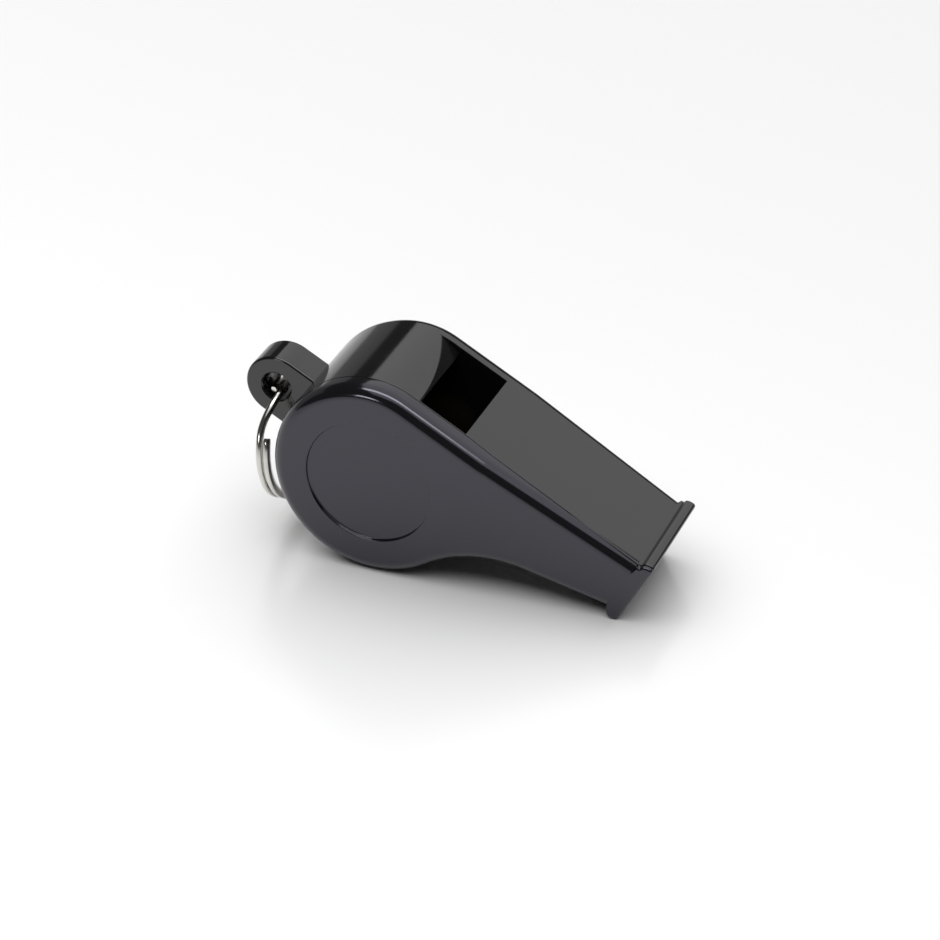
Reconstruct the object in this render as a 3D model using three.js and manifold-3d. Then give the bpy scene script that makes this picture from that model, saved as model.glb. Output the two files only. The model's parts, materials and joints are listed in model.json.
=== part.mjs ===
// Pea whistle: two plastic mouldings, a loose ball in the drum and a split ring in the lug.
// Everything is drawn in the whistle's own axes (drum axis = Y through 0,0,0; flat top parallel to X)
// and then turned nose-down, so that it stands on the drum and on the foot of its lip.
import * as THREE from 'three';
import { mergeVertices } from 'three/addons/utils/BufferGeometryUtils.js';
import Module from 'manifold-3d';

const wasm = await Module();
wasm.setup();

// ---- driving dimensions, millimetres ----
const DRUM_RADIUS = 12.65;
const TOP_Z = 12.1;
const CROWN_RADIUS = 10;
const DRUM_WALL = 2.0;
const HALF_WIDTH = 9.3;
const EDGE_FILLET = 1.65;

const TAPER_START = 10.0;
const LIP_BACK = 31.95;
const HALF_WIDTH_AT_LIP = 7.95;
const MOUTH_X = 33.2;

const UNDERSIDE_AT_LIP = 4.5;
const UNDERSIDE_SLOPE = THREE.MathUtils.degToRad(13.8);
const UNDERSIDE_BLEND = 15.0;

const LIP_RIDGE_RADIUS = 0.75;
const LIP_RIDGE_Z = TOP_Z - 0.05;
const LIP_VALLEY_RADIUS = 0.8;
const LIP_FOOT_RADIUS = 0.85;
const LIP_FOOT_Z = 4.4;
const LIP_FILLET = 0.35;

const CHAMBER_HALF_WIDTH = 6.5;
const SEAM_Y_DRUM = -6.4;
const SEAM_Y_LIP = -7.1;
const SEAM_BEND_X = 7.0;
const SEAM_GAP = 0.3;
const RIM_HEIGHT = 0.8;
const RIM_WALL = 1.0;
const RIM_START_ANGLE = THREE.MathUtils.degToRad(130);
const RIM_END_ANGLE = THREE.MathUtils.degToRad(400);

const WINDOW_FRONT = 6.2;
const LABIUM_X = -0.3;
const LABIUM_DEPTH = 0.55;
const LABIUM_THICKNESS = 0.2;
const RAMP_START = -3.3;

const WINDWAY_ROOF_INNER = 11.1;
const WINDWAY_ROOF_MOUTH = 10.7;
const WINDWAY_FLOOR_INNER = 9.6;
const WINDWAY_FLOOR_MOUTH = 6.8;
const WINDWAY_HALF_WIDTH_MOUTH = 5.6;

const RECESS_RADIUS = 8.0;
const RECESS_DEPTH = 0.35;

const LUG_X = -15.95;
const LUG_Z = -2.0;
const LUG_RADIUS = 4.0;
const LUG_ROOT_X = -10.7;
const LUG_HALF_WIDTH = 2.3;
const LUG_HOLE_RADIUS = 1.85;
const LUG_FILLET = 0.3;

const PEA_RADIUS = 4.6;
const PEA_CLEARANCE = 0.3;

const RING_RADIUS = 7.4;
const RING_WIRE_AXIAL = 0.75;
const RING_WIRE_RADIAL = 1.0;
const RING_WIRE_CORNER = 0.25;
const RING_PITCH = 0.95;
const RING_LEAN = THREE.MathUtils.degToRad(4.1);
const RING_DROP = 0.45;
const RING_SHIFT = 0.45;
const RING_END_ANGLE = THREE.MathUtils.degToRad(64.5);
const RING_JOG_ANGLE = THREE.MathUtils.degToRad(50);

// ---- fineness of the curved surfaces ----
const ARC_STEPS = 48;
const SMALL_ARC_STEPS = 8;
const CIRCLE_STEPS = 96;
const FILLET_STEPS = 4;
const SMALL_FILLET_STEPS = 2;
const RING_STEPS = 120;
const BALL_COLUMNS = 36;
const BALL_ROWS = 18;

// ---- helpers: solids in and out of the boolean library ----
const SPARE = 1.0;
const MERGE_DISTANCE = 1e-5;
const FAR = 60;

function toSolid(geometry) {
  const bare = geometry.clone();
  bare.deleteAttribute('normal');
  bare.deleteAttribute('uv');
  const merged = mergeVertices(bare, MERGE_DISTANCE);
  const vertProperties = Float32Array.from(merged.attributes.position.array);
  const triVerts = Uint32Array.from(merged.index.array);
  return new wasm.Manifold(new wasm.Mesh({ numProp: 3, vertProperties, triVerts }));
}

function toGeometry(solid) {
  const mesh = solid.getMesh();
  const geometry = new THREE.BufferGeometry();
  geometry.setAttribute('position', new THREE.BufferAttribute(mesh.vertProperties, 3));
  geometry.setIndex(new THREE.BufferAttribute(mesh.triVerts, 1));
  geometry.computeVertexNormals();
  return geometry;
}

// A side-view outline (x along, y up) as a plate standing between two Y values.
function plate(outline, yMin, yMax, fillet = 0, filletSteps = FILLET_STEPS, curveSegments = SMALL_ARC_STEPS) {
  const geometry = new THREE.ExtrudeGeometry(outline, {
    depth: yMax - yMin - 2 * fillet,
    bevelEnabled: fillet > 0,
    bevelThickness: fillet,
    bevelSize: fillet,
    bevelOffset: -fillet,
    bevelSegments: filletSteps,
    curveSegments,
  });
  geometry.rotateX(Math.PI / 2);
  geometry.translate(0, yMax - fillet, 0);
  return geometry;
}

// A top-view outline (x along, y across) as a block tall enough to cut the whole whistle.
function planBlock(outline) {
  const geometry = new THREE.ExtrudeGeometry(outline, { depth: 2 * FAR, bevelEnabled: false });
  geometry.translate(0, 0, -FAR);
  return geometry;
}

function boxBetween(xMin, xMax) {
  const geometry = new THREE.BoxGeometry(xMax - xMin, 2 * FAR, 2 * FAR);
  geometry.translate((xMin + xMax) / 2, 0, 0);
  return toSolid(geometry);
}

function discAlongY(radius, yMin, yMax, x = 0, z = 0) {
  const geometry = new THREE.CylinderGeometry(radius, radius, yMax - yMin, CIRCLE_STEPS);
  geometry.translate(x, (yMin + yMax) / 2, z);
  return toSolid(geometry);
}

// ---- outlines in side view ----
const UNDERSIDE_DIR = new THREE.Vector2(Math.cos(UNDERSIDE_SLOPE), Math.sin(UNDERSIDE_SLOPE));

// Centre of the hollow arc that joins the drum to the straight underside.
function undersideBlendCentre() {
  const below = new THREE.Vector2(UNDERSIDE_DIR.y, -UNDERSIDE_DIR.x).multiplyScalar(UNDERSIDE_BLEND);
  const base = new THREE.Vector2(LIP_BACK, UNDERSIDE_AT_LIP).add(below);
  const reach = DRUM_RADIUS + UNDERSIDE_BLEND;
  const along = base.dot(UNDERSIDE_DIR);
  const back = along - Math.sqrt(along * along - base.lengthSq() + reach * reach);
  return base.addScaledVector(UNDERSIDE_DIR, -back);
}

// Centre of the tighter arc that carries the back of the drum over into the flat top.
function crownCentre() {
  const offset = DRUM_RADIUS - CROWN_RADIUS;
  const rise = TOP_Z - CROWN_RADIUS;
  return new THREE.Vector2(-Math.sqrt(offset ** 2 - rise ** 2), rise);
}

// Drum and mouthpiece without the lip: flat top, straight front, sloping underside, hollow blend, drum.
function mainOutline() {
  const centre = undersideBlendCentre();
  const lineEnd = UNDERSIDE_SLOPE + Math.PI / 2;
  const drumSide = Math.atan2(-centre.y, -centre.x);
  const front = (MOUTH_X + LIP_BACK) / 2;
  const frontUnderside = UNDERSIDE_AT_LIP + (front - LIP_BACK) * Math.tan(UNDERSIDE_SLOPE);
  const crown = crownCentre();
  const crownStart = Math.atan2(crown.y, crown.x);
  const outline = new THREE.Shape();
  outline.moveTo(front, TOP_Z);
  outline.lineTo(front, frontUnderside);
  outline.absarc(centre.x, centre.y, UNDERSIDE_BLEND, lineEnd, drumSide, false);
  outline.absarc(0, 0, DRUM_RADIUS, drumSide + Math.PI, crownStart - 2 * Math.PI, true);
  outline.absarc(crown.x, crown.y, CROWN_RADIUS, crownStart, Math.PI / 2, true);
  return outline;
}

// The lip: rounded ridge above the top, flat front, rounded foot below the underside.
function lipOutline() {
  const ridgeX = MOUTH_X - LIP_RIDGE_RADIUS;
  const footX = MOUTH_X - LIP_FOOT_RADIUS;
  const valleyZ = TOP_Z + LIP_VALLEY_RADIUS;
  const reach = LIP_RIDGE_RADIUS + LIP_VALLEY_RADIUS;
  const valleyX = ridgeX - Math.sqrt(reach ** 2 - (valleyZ - LIP_RIDGE_Z) ** 2);
  const meeting = Math.atan2(valleyZ - LIP_RIDGE_Z, valleyX - ridgeX);
  const outline = new THREE.Shape();
  outline.moveTo(MOUTH_X - 2 * LIP_FOOT_RADIUS, UNDERSIDE_AT_LIP + SPARE);
  outline.lineTo(valleyX, TOP_Z - SPARE);
  outline.absarc(valleyX, valleyZ, LIP_VALLEY_RADIUS, -Math.PI / 2, meeting - Math.PI, false);
  outline.absarc(ridgeX, LIP_RIDGE_Z, LIP_RIDGE_RADIUS, meeting, 0, true);
  outline.absarc(footX, LIP_FOOT_Z, LIP_FOOT_RADIUS, 0, -Math.PI, true);
  return outline;
}

function windwayOutline() {
  const outline = new THREE.Shape();
  outline.moveTo(WINDOW_FRONT - SPARE, WINDWAY_FLOOR_INNER);
  outline.lineTo(WINDOW_FRONT, WINDWAY_FLOOR_INNER);
  outline.lineTo(MOUTH_X + SPARE, WINDWAY_FLOOR_MOUTH);
  outline.lineTo(MOUTH_X + SPARE, WINDWAY_ROOF_MOUTH);
  outline.lineTo(WINDOW_FRONT, WINDWAY_ROOF_INNER);
  outline.lineTo(WINDOW_FRONT - SPARE, WINDWAY_ROOF_INNER);
  return outline;
}

const LABIUM_Z = TOP_Z - LABIUM_DEPTH;

// What is cut away above the ramp: it leaves the crown along its tangent and curls down to the labium.
function rampOutline() {
  const crown = crownCentre();
  const back = crown.x - RAMP_START;
  const rise = Math.sqrt(CROWN_RADIUS ** 2 - back ** 2);
  const startZ = crown.y + rise;
  const startSlope = back / rise;
  const bendX = (RAMP_START + LABIUM_X) / 2;
  const outline = new THREE.Shape();
  outline.moveTo(RAMP_START, startZ);
  outline.quadraticCurveTo(bendX, startZ + startSlope * (bendX - RAMP_START), LABIUM_X, LABIUM_Z);
  outline.lineTo(WINDOW_FRONT, LABIUM_Z);
  outline.lineTo(WINDOW_FRONT, DRUM_RADIUS + SPARE);
  outline.lineTo(RAMP_START, DRUM_RADIUS + SPARE);
  return outline;
}

// The opening itself, with the drum wall pared away under the labium to leave a sharp edge.
function windowOutline() {
  const chamberRadius = DRUM_RADIUS - DRUM_WALL;
  const paredX = RAMP_START - SPARE;
  const inside = Math.sqrt(chamberRadius ** 2 - paredX ** 2) - SPARE / 2;
  const outline = new THREE.Shape();
  outline.moveTo(WINDOW_FRONT, 0);
  outline.lineTo(WINDOW_FRONT, DRUM_RADIUS + SPARE);
  outline.lineTo(LABIUM_X, DRUM_RADIUS + SPARE);
  outline.lineTo(LABIUM_X, LABIUM_Z - LABIUM_THICKNESS);
  outline.lineTo(paredX, inside);
  outline.lineTo(0, 0);
  return outline;
}

function lugOutline() {
  const outline = new THREE.Shape();
  outline.moveTo(LUG_ROOT_X, LUG_Z - LUG_RADIUS);
  outline.lineTo(LUG_ROOT_X, LUG_Z + LUG_RADIUS);
  outline.absarc(LUG_X, LUG_Z, LUG_RADIUS, Math.PI / 2, 1.5 * Math.PI, false);
  return outline;
}

// ---- the two mouldings ----
const TAPER = (1 - HALF_WIDTH_AT_LIP / HALF_WIDTH) / (LIP_BACK - TAPER_START);

function tapered(geometry) {
  const position = geometry.attributes.position;
  for (let i = 0; i < position.count; i += 1) {
    const narrowing = 1 - TAPER * (position.getX(i) - TAPER_START);
    position.setY(i, position.getY(i) * narrowing);
  }
  return geometry;
}

function wholeOutside() {
  const straight = plate(mainOutline(), -HALF_WIDTH, HALF_WIDTH, EDGE_FILLET, FILLET_STEPS, ARC_STEPS);
  const drum = toSolid(straight);
  const mouthpiece = toSolid(tapered(straight.clone()));
  const straightLip = plate(lipOutline(), -HALF_WIDTH, HALF_WIDTH, LIP_FILLET, SMALL_FILLET_STEPS);
  const lip = toSolid(tapered(straightLip));
  const floor = HALF_WIDTH - RECESS_DEPTH;
  const recesses = discAlongY(RECESS_RADIUS, -FAR, -floor).add(discAlongY(RECESS_RADIUS, floor, FAR));
  return drum.intersect(boxBetween(-FAR, TAPER_START))
    .add(mouthpiece.intersect(boxBetween(TAPER_START, FAR)))
    .add(lip)
    .subtract(recesses);
}

// Everything on the cover's side of the seam, moved sideways by half of the joint gap.
function coverSide(shift) {
  const outline = new THREE.Shape();
  outline.moveTo(-FAR, -FAR);
  outline.lineTo(FAR, -FAR);
  const bendToEnd = (FAR - SEAM_BEND_X) / (LIP_BACK - SEAM_BEND_X);
  outline.lineTo(FAR, SEAM_Y_DRUM + bendToEnd * (SEAM_Y_LIP - SEAM_Y_DRUM) + shift);
  outline.lineTo(SEAM_BEND_X, SEAM_Y_DRUM + shift);
  outline.lineTo(-FAR, SEAM_Y_DRUM + shift);
  return toSolid(planBlock(outline));
}

// The windway narrows towards the mouth on its far side and runs out to the seam on the near side.
function windway() {
  const slot = toSolid(plate(windwayOutline(), -HALF_WIDTH, CHAMBER_HALF_WIDTH));
  const outline = new THREE.Shape();
  outline.moveTo(-FAR, -FAR);
  outline.lineTo(FAR, -FAR);
  const past = (FAR - WINDOW_FRONT) / (MOUTH_X - WINDOW_FRONT);
  const narrowing = CHAMBER_HALF_WIDTH - WINDWAY_HALF_WIDTH_MOUTH;
  outline.lineTo(FAR, CHAMBER_HALF_WIDTH - past * narrowing);
  outline.lineTo(WINDOW_FRONT, CHAMBER_HALF_WIDTH);
  outline.lineTo(-FAR, CHAMBER_HALF_WIDTH);
  return slot.intersect(toSolid(planBlock(outline)));
}

function lug() {
  const outline = lugOutline();
  const tongue = toSolid(plate(outline, -LUG_HALF_WIDTH, LUG_HALF_WIDTH, LUG_FILLET, SMALL_FILLET_STEPS));
  const reach = LUG_HALF_WIDTH + SPARE;
  return tongue.subtract(discAlongY(LUG_HOLE_RADIUS, -reach, reach, LUG_X, LUG_Z));
}

function bodyShell(outside) {
  const chamberRadius = DRUM_RADIUS - DRUM_WALL;
  return outside
    .subtract(coverSide(SEAM_GAP / 2))
    .subtract(discAlongY(chamberRadius, -HALF_WIDTH, CHAMBER_HALF_WIDTH))
    .subtract(toSolid(plate(rampOutline(), -HALF_WIDTH, CHAMBER_HALF_WIDTH)))
    .subtract(toSolid(plate(windowOutline(), -HALF_WIDTH, CHAMBER_HALF_WIDTH)))
    .subtract(windway())
    .add(lug());
}

// A low rim inside the cover centres it in the drum; it stops short of the window.
function locatingRim() {
  const outer = DRUM_RADIUS - DRUM_WALL - SEAM_GAP;
  const inner = outer - RIM_WALL;
  const outline = new THREE.Shape();
  outline.absarc(0, 0, outer, RIM_START_ANGLE, RIM_END_ANGLE, false);
  outline.absarc(0, 0, inner, RIM_END_ANGLE, RIM_START_ANGLE, true);
  const insideFace = SEAM_Y_DRUM - SEAM_GAP / 2;
  const noFillet = 0;
  return toSolid(plate(outline, insideFace - SPARE, insideFace + RIM_HEIGHT, noFillet, noFillet, ARC_STEPS));
}

function sideCover(outside) {
  return outside.intersect(coverSide(-SEAM_GAP / 2)).add(locatingRim());
}

// ---- the split ring: two flat turns of wire joined by a sideways jog ----
class RingPath extends THREE.Curve {
  getPoint(t, target = new THREE.Vector3()) {
    const turn = 2 * Math.PI;
    const length = 2 * turn - RING_JOG_ANGLE;
    const along = t * length;
    const jogStart = turn - RING_JOG_ANGLE;
    const jog = THREE.MathUtils.smoothstep(along, jogStart, turn);
    const angle = RING_END_ANGLE + along;
    const side = RING_PITCH * (0.5 - jog);
    return target.set(side, -RING_RADIUS * Math.sin(angle), RING_RADIUS * Math.cos(angle));
  }
}

function splitRing() {
  const corner = RING_WIRE_CORNER;
  const halfAxial = RING_WIRE_AXIAL / 2;
  const halfRadial = RING_WIRE_RADIAL / 2;
  const section = new THREE.Shape();
  section.moveTo(halfAxial - corner, halfRadial);
  section.lineTo(corner - halfAxial, halfRadial);
  section.lineTo(-halfAxial, halfRadial - corner);
  section.lineTo(-halfAxial, corner - halfRadial);
  section.lineTo(corner - halfAxial, -halfRadial);
  section.lineTo(halfAxial - corner, -halfRadial);
  section.lineTo(halfAxial, corner - halfRadial);
  section.lineTo(halfAxial, halfRadial - corner);
  const extrudePath = new RingPath();
  return new THREE.ExtrudeGeometry(section, { steps: RING_STEPS, extrudePath, bevelEnabled: false });
}

// ---- how it stands: the line under the drum and the lip's foot becomes level ----
function standingTilt() {
  const foot = new THREE.Vector2(MOUTH_X - LIP_FOOT_RADIUS, LIP_FOOT_Z);
  return foot.angle() + Math.asin((DRUM_RADIUS - LIP_FOOT_RADIUS) / foot.length());
}

function finish(colour, roughness, metalness) {
  return new THREE.MeshStandardMaterial({ color: colour, roughness, metalness });
}

function named(name, geometry, material) {
  const mesh = new THREE.Mesh(geometry, material);
  mesh.name = name;
  return mesh;
}

const blackPlastic = finish(0x1b1b1d, 0.28, 0);
const cork = finish(0xb98a5a, 0.85, 0);
const nickel = finish(0xcfcec6, 0.2, 1);

const tilt = standingTilt();
const outside = wholeOutside();
const mouldings = new THREE.Group();
mouldings.rotation.y = tilt;
mouldings.add(named('body_shell', toGeometry(bodyShell(outside)), blackPlastic));
mouldings.add(named('side_cover', toGeometry(sideCover(outside)), blackPlastic));

const pea = named('pea_ball', new THREE.SphereGeometry(PEA_RADIUS, BALL_COLUMNS, BALL_ROWS), cork);
pea.position.z = -(DRUM_RADIUS - DRUM_WALL - PEA_RADIUS - PEA_CLEARANCE);

// The ring hangs in the lug hole, a little nearer to the drum than the middle of the hole.
const ring = named('split_ring', splitRing(), nickel);
const hole = new THREE.Vector3(LUG_X, 0, LUG_Z).applyAxisAngle(new THREE.Vector3(0, 1, 0), tilt);
ring.rotation.y = -RING_LEAN;
ring.position.set(hole.x + RING_SHIFT, 0, hole.z - RING_DROP - RING_RADIUS * Math.cos(RING_LEAN));

const whistle = new THREE.Group();
whistle.add(mouldings, pea, ring);

// The origin is on the ground, under the middle of the whistle.
const bounds = new THREE.Box3().setFromObject(whistle, true);
const middle = bounds.getCenter(new THREE.Vector3());
whistle.position.set(-middle.x, -middle.y, -bounds.min.z);

export default whistle;
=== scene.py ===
"""Looks of the pea whistle: black plastic body and cover, steel split ring, cork ball."""

import json
import math

import bmesh
import bpy
from mathutils import Matrix, Vector, noise


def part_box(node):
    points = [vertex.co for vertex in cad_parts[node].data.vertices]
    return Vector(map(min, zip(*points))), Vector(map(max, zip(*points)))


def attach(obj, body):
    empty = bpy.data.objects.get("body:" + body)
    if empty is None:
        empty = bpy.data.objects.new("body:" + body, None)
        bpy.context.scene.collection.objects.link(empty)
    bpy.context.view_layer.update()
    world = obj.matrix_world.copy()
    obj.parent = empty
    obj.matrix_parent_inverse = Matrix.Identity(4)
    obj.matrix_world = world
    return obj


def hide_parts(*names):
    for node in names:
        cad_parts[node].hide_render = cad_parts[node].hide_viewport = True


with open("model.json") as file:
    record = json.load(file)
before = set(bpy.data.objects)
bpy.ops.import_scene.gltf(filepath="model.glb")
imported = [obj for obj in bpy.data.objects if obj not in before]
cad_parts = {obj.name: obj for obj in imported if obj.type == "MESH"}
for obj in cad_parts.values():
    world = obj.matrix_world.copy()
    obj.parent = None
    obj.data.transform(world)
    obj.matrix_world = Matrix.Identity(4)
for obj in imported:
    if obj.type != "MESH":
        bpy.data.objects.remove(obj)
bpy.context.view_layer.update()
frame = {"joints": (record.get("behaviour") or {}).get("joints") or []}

MM = 0.001
joints = {joint["name"]: joint for joint in frame["joints"]}
DRUM_AXIS = Vector(joints["pea_roll"]["pos_m"])
LUG_HOLE = Vector(joints["ring_swing"]["pos_m"])

# ---- where the camera stands ----
CAMERA_AZIMUTH = math.radians(22.10)
CAMERA_ELEVATION = math.radians(32.14)
CAMERA_ROLL = math.radians(-0.06)
CAMERA_DISTANCE = 412.4 * MM
CAMERA_LENS = 131.54
LOOK_AT = Vector((0.51, 1.68, 10.03)) * MM

# ---- whistle dimensions in millimetres, in its own axes: drum axis at 0,0 and flat top along x ----
SPARE = 1.0

DRUM_RADIUS = 12.65
DRUM_WALL = 2.0
HALF_WIDTH = 9.3
EDGE_FILLET = 1.65
TOP_Z = 12.1
CROWN_RADIUS = 10.0
CHAMBER_FAR_Y = 6.8

TAPER_START = 10.0
LIP_BACK = 31.95
HALF_WIDTH_AT_LIP = 7.95
MOUTH_X = 33.2
UNDERSIDE_SLOPE = math.radians(13.8)
UNDERSIDE_BLEND = 15.0

LIP_RIDGE_HEIGHT = 0.74
LIP_NOSE_RADIUS = 0.4
LIP_SLOPE_RADIUS = 1.55
LIP_SLOPE = math.radians(33)
LIP_STEP_RUN = 0.28
LIP_FOOT_RADIUS = 0.85
LIP_FOOT_Z = 4.4
LIP_EDGE_FILLET = 0.35
LIP_FLANGE_X = 31.2
LIP_FLANGE_EASE = 0.25

SEAM_Y_DRUM = -6.4
SEAM_Y_LIP = -8.35
SEAM_BEND_X = 7.0
SEAM_GAP = 0.03
SEAM_ROUND = 0.12
SEAM_ROUND_AT_LIP = 0.3

WINDOW_NEAR_Y = -6.3
WINDOW_FRONT = 6.2
LABIUM_X = -0.3
LABIUM_Z_NEAR = 12.0
LABIUM_Z_FAR = 11.15
LABIUM_UNDERSIDE_Z = 11.35
PARED_X = -4.3
RAMP_START_NEAR = -0.5
RAMP_START_FAR = -3.8
RAMP_BEND = 0.3

WINDWAY_ROOF_INNER = 11.1
WINDWAY_ROOF_MOUTH = 10.7
WINDWAY_FLOOR_INNER = 9.6
WINDWAY_FLOOR_MOUTH = 6.8
WINDWAY_HALF_WIDTH = 6.3

RECESS_RADIUS = 8.0
RECESS_DEPTH = 0.35
RECESS_ROUND = 0.15

LUG_X = -15.95
LUG_Z = -2.0
LUG_RADIUS = 4.0
LUG_ROOT_X = -10.7
LUG_HALF_WIDTH = 2.3
LUG_ROUND = 0.35
LUG_HOLE_RADIUS = 1.85

RING_RADIUS = 7.4
RING_HALF_AXIAL = 0.375
RING_HALF_RADIAL = 0.5
RING_SQUARENESS = 0.6
RING_PITCH = 0.95
RING_LEAN = math.radians(4.1)
RING_SHIFT = 0.45
RING_DROP = 0.45
RING_END_ANGLE = math.radians(64.5)
RING_JOG_ANGLE = math.radians(50)
RING_END_ROWS = 2
RING_END_NARROWING = 0.18

# ---- cork ball: size against the frame's ball, and its grain ----
BALL_FILL = 0.985
GRAIN_SCALE = 900
GRAIN_HEIGHT = 0.012
GRAIN_FALLOFF = 0.8
GRAIN_STEP = 2.0
GRAIN_OCTAVES = 4

# ---- fineness and finish of the meshes ----
MOUTH_STEPS = 12
SMALL_STEPS = 8
FLANGE_STEPS = 6
TOP_STEPS = 34
CROWN_STEPS = 20
DRUM_STEPS = 90
HOLLOW_STEPS = 30
UNDERSIDE_STEPS = 16
FOOT_STEPS = 20
RAMP_STEPS = 16
RAMP_ROWS = 16
LUG_ARC_STEPS = 36
LUG_SIDE_STEPS = 4
ROUND_STEPS = 6
CIRCLE_SIDES = 128
HOLE_SIDES = 64
RING_STEPS = 360
RING_CORNERS = 20
BALL_SUBDIVISIONS = 5
MITRE_LIMIT = 0.6
FLAT_FACE_WEIGHT = 80

# ---- room and floor ----
ROOM_LIGHT = 0.05
ROOM_SEEN = 0.7
FLOOR_HALF_SIZE = 3

# ---- from the whistle's own axes to its place in the frame ----
lug_in_world = LUG_HOLE - DRUM_AXIS
TILT = math.atan2(LUG_Z, LUG_X) - math.atan2(lug_in_world.z, lug_in_world.x)
TO_WORLD = Matrix.Translation(DRUM_AXIS) @ Matrix.Rotation(TILT, 4, "Y") @ Matrix.Scale(MM, 4)


# ---- camera ----
def make_camera():
    """Looks down at the cover's side of the whistle, from a little towards its mouth."""
    back = Vector((
        math.sin(CAMERA_AZIMUTH) * math.cos(CAMERA_ELEVATION),
        -math.cos(CAMERA_AZIMUTH) * math.cos(CAMERA_ELEVATION),
        math.sin(CAMERA_ELEVATION),
    ))
    data = bpy.data.cameras.new("camera")
    data.lens = CAMERA_LENS
    data.sensor_width = 36
    data.clip_start = 0.01
    data.clip_end = 20
    camera = bpy.data.objects.new("camera", data)
    camera.rotation_mode = "QUATERNION"
    roll = Matrix.Rotation(CAMERA_ROLL, 4, "Z").to_quaternion()
    camera.rotation_quaternion = (-back).to_track_quat("-Z", "Y") @ roll
    camera.location = LOOK_AT + back * CAMERA_DISTANCE
    bpy.context.scene.collection.objects.link(camera)
    bpy.context.scene.camera = camera


# ---- in-between values ----
def mix(start, end, t):
    return start + (end - start) * t


def ease(t):
    """Turns an even run from 0 to 1 into one that starts and stops softly."""
    return t * t * (3 - 2 * t)


# ---- side-view outlines: lists of (x, z), anticlockwise ----
def arc(centre, radius, start, end, steps):
    """Points round a centre from one angle to another, both included."""
    points = []
    for i in range(steps + 1):
        angle = start + (end - start) * i / steps
        points.append((centre[0] + radius * math.cos(angle), centre[1] + radius * math.sin(angle)))
    return points


def line(start, end, steps):
    """Points from start to end, without the last one."""
    points = []
    for i in range(steps):
        t = i / steps
        points.append((mix(start[0], end[0], t), mix(start[1], end[1], t)))
    return points


def eased(start, end, steps):
    """A soft step from start to end, without the last point, that leaves and arrives level."""
    points = []
    for i in range(steps):
        t = i / steps
        points.append((mix(start[0], end[0], t), mix(start[1], end[1], ease(t))))
    return points


def crown_centre():
    """Centre of the tighter arc that carries the back of the drum over into the flat top."""
    offset = DRUM_RADIUS - CROWN_RADIUS
    rise = TOP_Z - CROWN_RADIUS
    return (-math.sqrt(offset**2 - rise**2), rise)


def underside_blend_centre():
    """Centre of the hollow arc that joins the drum to the straight underside."""
    along = Vector((math.cos(UNDERSIDE_SLOPE), math.sin(UNDERSIDE_SLOPE)))
    below = Vector((along.y, -along.x)) * UNDERSIDE_BLEND
    base = Vector((MOUTH_X - 2 * LIP_FOOT_RADIUS, LIP_FOOT_Z)) + below
    reach = DRUM_RADIUS + UNDERSIDE_BLEND
    distance = base.dot(along)
    back = distance - math.sqrt(distance**2 - base.length_squared + reach**2)
    return base - along * back


def side_outline():
    """The whole side view: mouth, lip ridge, flat top, crown, drum, hollow underside and lip foot."""
    crown = crown_centre()
    crown_end = math.atan2(crown[1], crown[0])
    blend = underside_blend_centre()
    drum_end = math.tau + math.atan2(blend.y, blend.x)
    blend_end = math.pi / 2 + UNDERSIDE_SLOPE
    foot = (MOUTH_X - LIP_FOOT_RADIUS, LIP_FOOT_Z)
    foot_back = (foot[0] - LIP_FOOT_RADIUS, LIP_FOOT_Z)
    nose = (MOUTH_X - LIP_NOSE_RADIUS, TOP_Z + LIP_RIDGE_HEIGHT - LIP_NOSE_RADIUS)
    slope_centre = (nose[0], TOP_Z + LIP_RIDGE_HEIGHT - LIP_SLOPE_RADIUS)
    slope_end = math.pi / 2 + LIP_SLOPE
    slope_foot = arc(slope_centre, LIP_SLOPE_RADIUS, slope_end, slope_end, 1)[0]
    step_foot = (slope_foot[0] - LIP_STEP_RUN, TOP_Z)
    flange_back = LIP_FLANGE_X - LIP_FLANGE_EASE
    flange_top = (flange_back, TOP_Z)
    flange_under = (flange_back, foot_back[1] + (flange_back - foot_back[0]) * math.tan(UNDERSIDE_SLOPE))
    hollow = arc(blend, UNDERSIDE_BLEND, drum_end - math.pi, blend_end, HOLLOW_STEPS)
    outline = line((MOUTH_X, LIP_FOOT_Z), (MOUTH_X, nose[1]), MOUTH_STEPS)
    outline += arc(nose, LIP_NOSE_RADIUS, 0, math.pi / 2, SMALL_STEPS)
    outline += arc(slope_centre, LIP_SLOPE_RADIUS, math.pi / 2, slope_end, SMALL_STEPS)[1:]
    outline += eased(slope_foot, step_foot, SMALL_STEPS)[1:]
    outline += line(step_foot, flange_top, FLANGE_STEPS)
    outline += line(flange_top, (crown[0], TOP_Z), TOP_STEPS)
    outline += arc(crown, CROWN_RADIUS, math.pi / 2, crown_end, CROWN_STEPS)
    outline += arc((0, 0), DRUM_RADIUS, crown_end, drum_end, DRUM_STEPS)[1:]
    outline += hollow[1:]
    outline += line(hollow[-1], flange_under, UNDERSIDE_STEPS)[1:]
    outline += line(flange_under, foot_back, SMALL_STEPS)[1:]
    outline += arc(foot, LIP_FOOT_RADIUS, math.pi, math.tau, FOOT_STEPS)[:-1]
    return outline


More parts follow.
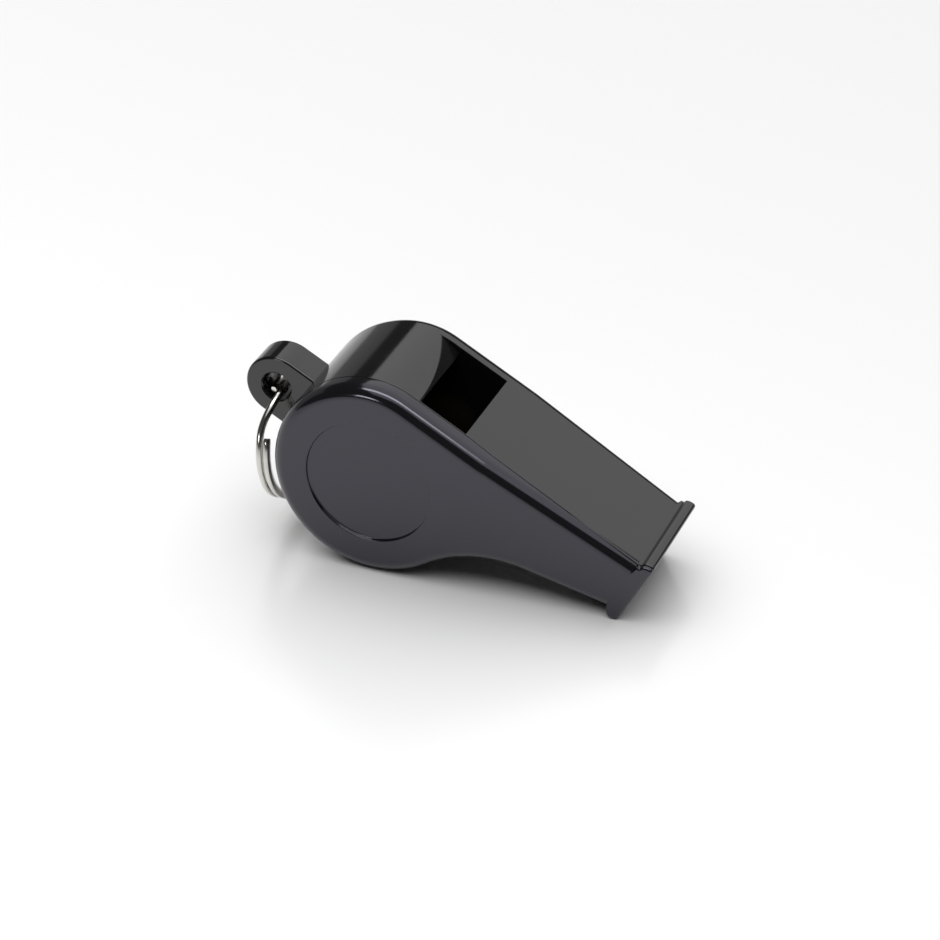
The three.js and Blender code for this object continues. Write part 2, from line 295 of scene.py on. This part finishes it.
def ramp_outline(start_x, labium_z):
    """What is cut away above the ramp: it leaves the crown along its tangent and dips to the labium."""
    crown = crown_centre()
    back = min(start_x - crown[0], 0)
    rise = math.sqrt(CROWN_RADIUS**2 - back**2)
    start = Vector((start_x, crown[1] + rise))
    end = Vector((LABIUM_X, labium_z))
    bend_x = mix(start_x, LABIUM_X, RAMP_BEND)
    bend = Vector((bend_x, start.y - back / rise * (bend_x - start_x)))
    outline = []
    for i in range(RAMP_STEPS + 1):
        t = i / RAMP_STEPS
        outline.append(tuple(start * (1 - t) ** 2 + bend * 2 * t * (1 - t) + end * t**2))
    above = TOP_Z + SPARE
    return outline + [(WINDOW_FRONT, labium_z), (WINDOW_FRONT, above), (start_x, above)]


def ramp_outlines():
    """The ramp is almost flush with the top on the near side and deepens towards the far side."""
    outlines = []
    for i in range(RAMP_ROWS + 1):
        depth = (i / RAMP_ROWS) ** 2
        start_x = mix(RAMP_START_NEAR, RAMP_START_FAR, depth)
        labium_z = mix(LABIUM_Z_NEAR, LABIUM_Z_FAR, depth)
        outlines.append(ramp_outline(start_x, labium_z))
    return outlines


def window_outline():
    """The opening itself, with the drum wall pared away under the labium to leave a sharp edge."""
    inside = math.sqrt((DRUM_RADIUS - DRUM_WALL) ** 2 - PARED_X**2) - SPARE / 2
    above = TOP_Z + SPARE
    return [
        (0, 0),
        (WINDOW_FRONT, 0),
        (WINDOW_FRONT, above),
        (LABIUM_X, above),
        (LABIUM_X, LABIUM_UNDERSIDE_Z),
        (PARED_X, inside),
    ]


def windway_outline():
    """The air passage, which opens out from the window towards the mouth."""
    inner = WINDOW_FRONT - SPARE
    mouth = MOUTH_X + SPARE
    return [
        (inner, WINDWAY_FLOOR_INNER),
        (WINDOW_FRONT, WINDWAY_FLOOR_INNER),
        (mouth, WINDWAY_FLOOR_MOUTH),
        (mouth, WINDWAY_ROOF_MOUTH),
        (WINDOW_FRONT, WINDWAY_ROOF_INNER),
        (inner, WINDWAY_ROOF_INNER),
    ]


def lug_outline():
    """A tongue with a half-round end, whose root lies inside the drum wall."""
    low = LUG_Z - LUG_RADIUS
    high = LUG_Z + LUG_RADIUS
    outline = arc((LUG_X, LUG_Z), LUG_RADIUS, math.pi / 2, 1.5 * math.pi, LUG_ARC_STEPS)
    outline += line((LUG_X, low), (LUG_ROOT_X, low), LUG_SIDE_STEPS)[1:]
    outline += line((LUG_ROOT_X, low), (LUG_ROOT_X, high), LUG_SIDE_STEPS)
    outline += line((LUG_ROOT_X, high), (LUG_X, high), LUG_SIDE_STEPS)
    return outline


# ---- solids: straight in the whistle's own axes and in millimetres until taper() ----
def constant(value):
    """For the places that take a function of x and need the same value all along."""
    return lambda x: value


def seam_y(x):
    """Where the joint between body and cover runs."""
    along = max(x - SEAM_BEND_X, 0) / (LIP_BACK - SEAM_BEND_X)
    return mix(SEAM_Y_DRUM, SEAM_Y_LIP, along)


def edge_round(x):
    """Radius of the outer long edges, which turns crisp where the lip stands out as a flange."""
    t = min(max((x - LIP_FLANGE_X) / LIP_FLANGE_EASE, 0), 1)
    return mix(EDGE_FILLET, LIP_EDGE_FILLET, ease(t))


def joint_round(x):
    """Softening of the joint's edges, which shows more on the raised lip."""
    return SEAM_ROUND_AT_LIP if x > LIP_BACK - LIP_STEP_RUN else SEAM_ROUND


def inward_normals(outline):
    """Which way, and how far for each unit of inset, every point of an outline moves inwards."""
    normals = []
    for i, here in enumerate(outline):
        before = Vector(outline[i - 1])
        after = Vector(outline[(i + 1) % len(outline)])
        here = Vector(here)
        first = (here - before).normalized()
        second = (after - here).normalized()
        average = (first + second).normalized()
        normals.append(Vector((-average.y, average.x)) / max(average.dot(second), MITRE_LIMIT))
    return normals


def edge_rows(bm, outline, face_y, towards, rounding):
    """Loops of vertices from a face over its rounded edge; towards is +1 for the near face."""
    rows = []
    normals = inward_normals(outline)
    for i in range(ROUND_STEPS + 1):
        angle = math.pi / 2 * i / ROUND_STEPS
        row = []
        for (x, z), normal in zip(outline, normals):
            inset = rounding(x) * (1 - math.sin(angle))
            y = face_y(x) + towards * rounding(x) * (1 - math.cos(angle))
            row.append(bm.verts.new((x + normal.x * inset, y, z + normal.y * inset)))
        rows.append(row)
    return rows


def sharp_row(bm, outline, y):
    return [bm.verts.new((x, y, z)) for x, z in outline]


def join_rows(bm, rows):
    """Faces between neighbouring loops of as many vertices each."""
    count = len(rows[0])
    for near, far in zip(rows, rows[1:]):
        for i in range(count):
            j = (i + 1) % count
            bm.faces.new((near[i], far[i], far[j], near[j]))


def recessed_face(bm, outer, side):
    """Fills a side face round a shallow round recess with a softened rim and foot."""
    profile = []
    for i in range(ROUND_STEPS + 1):
        angle = math.pi / 2 * i / ROUND_STEPS
        rise = RECESS_ROUND * (1 - math.cos(angle))
        run = RECESS_ROUND * (1 - math.sin(angle))
        profile.append((RECESS_RADIUS + run, rise))
        profile.append((RECESS_RADIUS - run, RECESS_DEPTH - rise))
    profile.sort(key=lambda place: place[1])
    rows = []
    for radius, depth in profile:
        rows.append(circle_row(bm, radius, side * (HALF_WIDTH - depth), 0, 0, CIRCLE_SIDES))
    join_rows(bm, rows)
    bm.faces.new(rows[-1])
    face_with_hole(bm, outer, rows[0])


def circle_row(bm, radius, y, x, z, sides):
    """A loop of vertices round an axis along Y through (x, z)."""
    row = []
    for i in range(sides):
        angle = math.tau * i / sides
        row.append(bm.verts.new((x + radius * math.cos(angle), y, z + radius * math.sin(angle))))
    return row


def face_with_hole(bm, outer, inner):
    """Two flat faces, left and right, that fill the space between two loops of vertices."""
    def nearest_to_axis(loop, side):
        ahead = [i for i, vertex in enumerate(loop) if vertex.co.z * side > 0]
        return min(ahead, key=lambda i: abs(loop[i].co.x))

    def stretch(loop, start, end):
        count = (end - start) % len(loop) + 1
        return [loop[(start + i) % len(loop)] for i in range(count)]

    for side in (1, -1):
        outside = stretch(outer, nearest_to_axis(outer, side), nearest_to_axis(outer, -side))
        inside = stretch(inner, nearest_to_axis(inner, side), nearest_to_axis(inner, -side))
        bm.faces.new(outside + inside[::-1])


def to_solid(bm):
    """Turns a closed mesh into an object whose faces look outwards."""
    bmesh.ops.recalc_face_normals(bm, faces=bm.faces)
    if bm.calc_volume(signed=True) < 0:
        bmesh.ops.reverse_faces(bm, faces=bm.faces)
    mesh = bpy.data.meshes.new("working")
    bm.to_mesh(mesh)
    bm.free()
    piece = bpy.data.objects.new("working", mesh)
    bpy.context.scene.collection.objects.link(piece)
    return piece


def close_rows(bm, rows):
    """A solid through loops of vertices, with a flat face at each end."""
    join_rows(bm, rows)
    bm.faces.new(rows[0])
    bm.faces.new(rows[-1])
    return to_solid(bm)


def plain_plate(outlines, near_y, far_y):
    """A block through equally spaced outlines of as many points each, from near_y to far_y."""
    bm = bmesh.new()
    last = len(outlines) - 1
    rows = []
    for i, outline in enumerate(outlines):
        rows.append(sharp_row(bm, outline, mix(near_y, far_y, i / last)))
    return close_rows(bm, rows)


def lathe(profile, x, z, sides):
    """A solid of revolution about an axis along Y through (x, z); the profile is a list of (radius, y)."""
    bm = bmesh.new()
    rows = [circle_row(bm, radius, y, x, z, sides) for radius, y in profile]
    return close_rows(bm, rows)


def combine(piece, tool, operation):
    """Joins the tool to the piece, or cuts it out of the piece."""
    modifier = piece.modifiers.new("combine", "BOOLEAN")
    modifier.operation = operation
    modifier.solver = "EXACT"
    modifier.object = tool
    graph = bpy.context.evaluated_depsgraph_get()
    made = bpy.data.meshes.new_from_object(piece.evaluated_get(graph))
    piece.modifiers.clear()
    piece.data = made
    bpy.data.objects.remove(tool)


def make_half(side):
    """The near half (side -1, the cover) or the far half (side 1), each with its recessed side face."""
    def joint(x):
        return seam_y(x) + side * SEAM_GAP / 2

    bm = bmesh.new()
    outline = side_outline()
    outer = edge_rows(bm, outline, constant(side * HALF_WIDTH), -side, edge_round)
    inner = edge_rows(bm, outline, joint, side, joint_round)
    join_rows(bm, outer + inner[::-1])
    recessed_face(bm, outer[0], side)
    bm.faces.new(inner[0])
    return to_solid(bm)


def make_lug():
    """The rounded tongue at the back of the drum, with a hole whose ends are countersunk."""
    bm = bmesh.new()
    outline = lug_outline()
    near = edge_rows(bm, outline, constant(-LUG_HALF_WIDTH), 1, constant(LUG_ROUND))
    far = edge_rows(bm, outline, constant(LUG_HALF_WIDTH), -1, constant(LUG_ROUND))
    lug = close_rows(bm, near + far[::-1])
    past = LUG_HALF_WIDTH + SPARE
    wide = LUG_HOLE_RADIUS + SPARE + LUG_ROUND / 2
    straight = LUG_HALF_WIDTH - LUG_ROUND / 2
    profile = [(wide, -past), (LUG_HOLE_RADIUS, -straight), (LUG_HOLE_RADIUS, straight), (wide, past)]
    combine(lug, lathe(profile, LUG_X, LUG_Z, HOLE_SIDES), "DIFFERENCE")
    return lug


def make_body():
    """The far half with its chamber, ramp, window and windway cut out, and the lug joined on."""
    body = make_half(1)
    chamber_radius = DRUM_RADIUS - DRUM_WALL
    chamber = lathe([(chamber_radius, -HALF_WIDTH), (chamber_radius, CHAMBER_FAR_Y)], 0, 0, CIRCLE_SIDES)
    ramp = plain_plate(ramp_outlines(), WINDOW_NEAR_Y, CHAMBER_FAR_Y)
    window = plain_plate([window_outline()] * 2, WINDOW_NEAR_Y, CHAMBER_FAR_Y)
    windway = plain_plate([windway_outline()] * 2, -WINDWAY_HALF_WIDTH, WINDWAY_HALF_WIDTH)
    for tool in (chamber, ramp, window, windway):
        combine(body, tool, "DIFFERENCE")
    combine(body, make_lug(), "UNION")
    return body


def taper(piece):
    """Narrows the mouthpiece towards the lip and puts the piece in its place in the world."""
    rate = (1 - HALF_WIDTH_AT_LIP / HALF_WIDTH) / (LIP_BACK - TAPER_START)
    bm = bmesh.new()
    bm.from_mesh(piece.data)
    everything = bm.verts[:] + bm.edges[:] + bm.faces[:]
    bmesh.ops.bisect_plane(bm, geom=everything, plane_co=(TAPER_START, 0, 0), plane_no=(1, 0, 0))
    for vertex in bm.verts:
        vertex.co.y *= 1 - rate * max(vertex.co.x - TAPER_START, 0)
    bmesh.ops.transform(bm, matrix=TO_WORLD, verts=bm.verts)
    bm.to_mesh(piece.data)
    bm.free()


def smooth(piece, sharp_degrees):
    """Smooth shading that keeps the edges sharper than the angle, and flat faces flat."""
    piece.data.shade_smooth()
    piece.data.set_sharp_from_angle(angle=math.radians(sharp_degrees))
    modifier = piece.modifiers.new("even_normals", "WEIGHTED_NORMAL")
    modifier.keep_sharp = True
    modifier.weight = FLAT_FACE_WEIGHT


def show(piece, name, material, body):
    """Dresses a finished piece and puts it in the place of the frame's node of that name."""
    piece.name = name + "_look"
    piece.data.materials.clear()
    piece.data.materials.append(material)
    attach(piece, body)
    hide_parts(name)


# ---- split ring ----
def ring_point(angle):
    """Centre of the wire: two flat turns joined by a sideways jog; angle counts from the near wire end."""
    jog_start = math.tau - RING_JOG_ANGLE
    t = min(max((angle - jog_start) / RING_JOG_ANGLE, 0), 1)
    side = RING_PITCH * (0.5 - ease(t))
    turn = RING_END_ANGLE + angle
    return Vector((side, -RING_RADIUS * math.sin(turn), RING_RADIUS * math.cos(turn)))


def squarish(value):
    """Pushes a sine or cosine outwards, which turns a circle into a rounded square."""
    return math.copysign(abs(value) ** RING_SQUARENESS, value)


def wire_row(bm, angle, pull):
    """A cross-section of the wire, scaled by pull."""
    centre = ring_point(angle)
    outward = Vector((0, centre.y, centre.z)).normalized()
    row = []
    for k in range(RING_CORNERS):
        around = math.tau * k / RING_CORNERS
        across = squarish(math.cos(around)) * RING_HALF_AXIAL * pull
        out = squarish(math.sin(around)) * RING_HALF_RADIAL * pull
        row.append(bm.verts.new(centre + Vector((across, 0, 0)) + outward * out))
    return row


def make_ring():
    """The split ring, with slightly narrowed wire ends, hung in the lug hole."""
    total = 2 * math.tau - RING_JOG_ANGLE
    bm = bmesh.new()
    rows = []
    for i in range(RING_STEPS + 1):
        from_end = min(i, RING_STEPS - i)
        pull = 1 - RING_END_NARROWING * max(0, 1 - from_end / RING_END_ROWS)
        rows.append(wire_row(bm, total * i / RING_STEPS, pull))
    ring = close_rows(bm, rows)
    hang = Vector((RING_SHIFT, 0, -(RING_DROP + RING_RADIUS * math.cos(RING_LEAN)))) * MM
    place = Matrix.Translation(LUG_HOLE + hang) @ Matrix.Rotation(-RING_LEAN, 4, "Y") @ Matrix.Scale(MM, 4)
    ring.data.transform(place)
    return ring


# ---- ball ----
def make_ball():
    """The loose ball, with the uneven surface of turned cork."""
    low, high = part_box("pea_ball")
    centre = (low + high) / 2
    radius = (high - low).x / 2 * BALL_FILL
    bm = bmesh.new()
    bmesh.ops.create_icosphere(bm, subdivisions=BALL_SUBDIVISIONS, radius=radius)
    for vertex in bm.verts:
        grain = noise.fractal(vertex.co * GRAIN_SCALE, GRAIN_FALLOFF, GRAIN_STEP, GRAIN_OCTAVES)
        vertex.co *= 1 + GRAIN_HEIGHT * max(-1, min(1, grain))
        vertex.co += centre
    return to_solid(bm)


# ---- materials ----
def new_material(name):
    material = bpy.data.materials.new(name)
    material.use_nodes = True
    tree = material.node_tree
    return material, tree, tree.nodes["Principled BSDF"]


def noise_node(tree, scale, detail=3.0, roughness=0.5):
    """Noise in the piece's own coordinates, in metres."""
    coordinates = tree.nodes.new("ShaderNodeTexCoord")
    texture = tree.nodes.new("ShaderNodeTexNoise")
    texture.inputs["Scale"].default_value = scale
    texture.inputs["Detail"].default_value = detail
    texture.inputs["Roughness"].default_value = roughness
    tree.links.new(coordinates.outputs["Object"], texture.inputs["Vector"])
    return texture.outputs["Fac"]


def ramp_node(tree, source, low, high):
    """A colour between low and high."""
    ramp = tree.nodes.new("ShaderNodeValToRGB")
    ramp.color_ramp.elements[0].color = low
    ramp.color_ramp.elements[1].color = high
    tree.links.new(source, ramp.inputs["Fac"])
    return ramp.outputs["Color"]


def spread_node(tree, source, low, high):
    """Maps 0 to 1 on to low to high."""
    spread = tree.nodes.new("ShaderNodeMapRange")
    spread.inputs["To Min"].default_value = low
    spread.inputs["To Max"].default_value = high
    tree.links.new(source, spread.inputs["Value"])
    return spread.outputs["Result"]


def bump_node(tree, source, strength, distance):
    bump = tree.nodes.new("ShaderNodeBump")
    bump.inputs["Strength"].default_value = strength
    bump.inputs["Distance"].default_value = distance
    tree.links.new(source, bump.inputs["Height"])
    return bump.outputs["Normal"]


def black_plastic(name, low, high, sheen_colour, ior):
    """Glossy moulded plastic with a faint mottle, uneven sheen and a fine skin."""
    material, tree, shader = new_material(name)
    mottle = noise_node(tree, scale=180)
    tree.links.new(ramp_node(tree, mottle, low, high), shader.inputs["Base Color"])
    sheen = noise_node(tree, scale=420, detail=4)
    tree.links.new(spread_node(tree, sheen, low=0.08, high=0.16), shader.inputs["Roughness"])
    skin = noise_node(tree, scale=900, detail=2)
    tree.links.new(bump_node(tree, skin, strength=0.05, distance=0.05 * MM), shader.inputs["Normal"])
    shader.inputs["Specular Tint"].default_value = sheen_colour
    shader.inputs["IOR"].default_value = ior
    return material


def body_plastic():
    low = (0.006, 0.006, 0.006, 1)
    high = (0.009, 0.009, 0.009, 1)
    return black_plastic("body_plastic", low, high, sheen_colour=(1, 1, 1, 1), ior=1.7)


def cover_plastic():
    """The cover's black has a slight violet cast."""
    low = (0.006, 0.006, 0.0075, 1)
    high = (0.009, 0.009, 0.011, 1)
    return black_plastic("cover_plastic", low, high, sheen_colour=(0.88, 0.86, 1, 1), ior=1.74)


def nickel():
    """Bright plated wire with uneven wear."""
    material, tree, shader = new_material("nickel")
    low = (0.62, 0.61, 0.57, 1)
    high = (0.8, 0.79, 0.75, 1)
    tone = noise_node(tree, scale=600)
    tree.links.new(ramp_node(tree, tone, low, high), shader.inputs["Base Color"])
    wear = noise_node(tree, scale=1500, detail=4)
    tree.links.new(spread_node(tree, wear, low=0.1, high=0.2), shader.inputs["Roughness"])
    shader.inputs["Metallic"].default_value = 1.0
    return material


def cork():
    """Dull, grainy cork."""
    material, tree, shader = new_material("cork")
    low = (0.045, 0.025, 0.012, 1)
    high = (0.14, 0.08, 0.04, 1)
    grain = noise_node(tree, scale=1400, detail=6, roughness=0.7)
    tree.links.new(ramp_node(tree, grain, low, high), shader.inputs["Base Color"])
    tree.links.new(bump_node(tree, grain, strength=0.6, distance=0.2 * MM), shader.inputs["Normal"])
    shader.inputs["Roughness"].default_value = 0.85
    return material


def pale_floor():
    material, tree, shader = new_material("pale_floor")
    low = (0.79, 0.79, 0.79, 1)
    high = (0.82, 0.82, 0.82, 1)
    tone = noise_node(tree, scale=3, detail=2)
    tree.links.new(ramp_node(tree, tone, low, high), shader.inputs["Base Color"])
    shader.inputs["Roughness"].default_value = 0.25
    return material


# ---- studio ----
def make_floor():
    bm = bmesh.new()
    bmesh.ops.create_grid(bm, x_segments=4, y_segments=4, size=FLOOR_HALF_SIZE)
    mesh = bpy.data.meshes.new("floor")
    bm.to_mesh(mesh)
    bm.free()
    floor = bpy.data.objects.new("floor", mesh)
    bpy.context.scene.collection.objects.link(floor)
    floor.data.materials.append(pale_floor())
    return floor


def make_panel(name, centre, size, turn, radiance, lit):
    """A flat rectangular light in metres, facing down until turned by degrees, for the pieces in lit only."""
    data = bpy.data.lights.new(name, "AREA")
    data.shape = "RECTANGLE"
    data.size, data.size_y = size
    data.energy = radiance * math.pi * size[0] * size[1]
    panel = bpy.data.objects.new(name, data)
    panel.location = centre
    panel.rotation_euler = [math.radians(angle) for angle in turn]
    panel.visible_camera = False
    bpy.context.scene.collection.objects.link(panel)
    receivers = bpy.data.collections.new(name + "_receivers")
    for piece in lit:
        receivers.objects.link(piece)
    panel.light_linking.receiver_collection = receivers


def make_lights(whistle, floor):
    """Four lights shape the reflections in the whistle, and a fifth lights the floor on its own."""
    make_panel("softbox", (0.25, 0.39, 0.6), (1.15, 1.52), (0, 0, 12), 0.89, whistle)
    make_panel("strip", (0.02, -0.1, 0.59), (0.56, 0.14), (0, 0, 0), 4.4, whistle)
    make_panel("left_card", (-0.9, 0.6, 0.25), (0.5, 1.6), (0, -90, 0), 0.19, whistle)
    make_panel("front_lamp", (-0.28, -0.76, 0.23), (0.2, 0.12), (74, 0, -20), 6.0, whistle)
    make_panel("floor_light", (-0.35, 0.35, 0.9), (2.1, 2.1), (0, 0, 0), 2.05, (floor,))


def make_world():
    """A dim room around the whistle that looks pale behind the floor's far edge."""
    world = bpy.data.worlds.new("world")
    world.use_nodes = True
    tree = world.node_tree
    seen = tree.nodes.new("ShaderNodeLightPath").outputs["Is Camera Ray"]
    strength = spread_node(tree, seen, ROOM_LIGHT, ROOM_SEEN)
    background = tree.nodes["Background"]
    background.inputs["Color"].default_value = (1, 1, 1, 1)
    tree.links.new(strength, background.inputs["Strength"])
    bpy.context.scene.world = world
    bpy.context.scene.view_settings.view_transform = "Standard"


# ---- the scene ----
make_camera()
make_world()
floor = make_floor()
body_look = make_body()
cover_look = make_half(-1)
for look in (body_look, cover_look):
    taper(look)
    smooth(look, sharp_degrees=28)
ring_look = make_ring()
smooth(ring_look, sharp_degrees=50)
ball_look = make_ball()
smooth(ball_look, sharp_degrees=60)

show(body_look, "body_shell", body_plastic(), "whistle")
show(cover_look, "side_cover", cover_plastic(), "whistle")
show(ring_look, "split_ring", nickel(), "ring")
show(ball_look, "pea_ball", cork(), "pea")

make_lights((body_look, cover_look, ring_look, ball_look), floor)
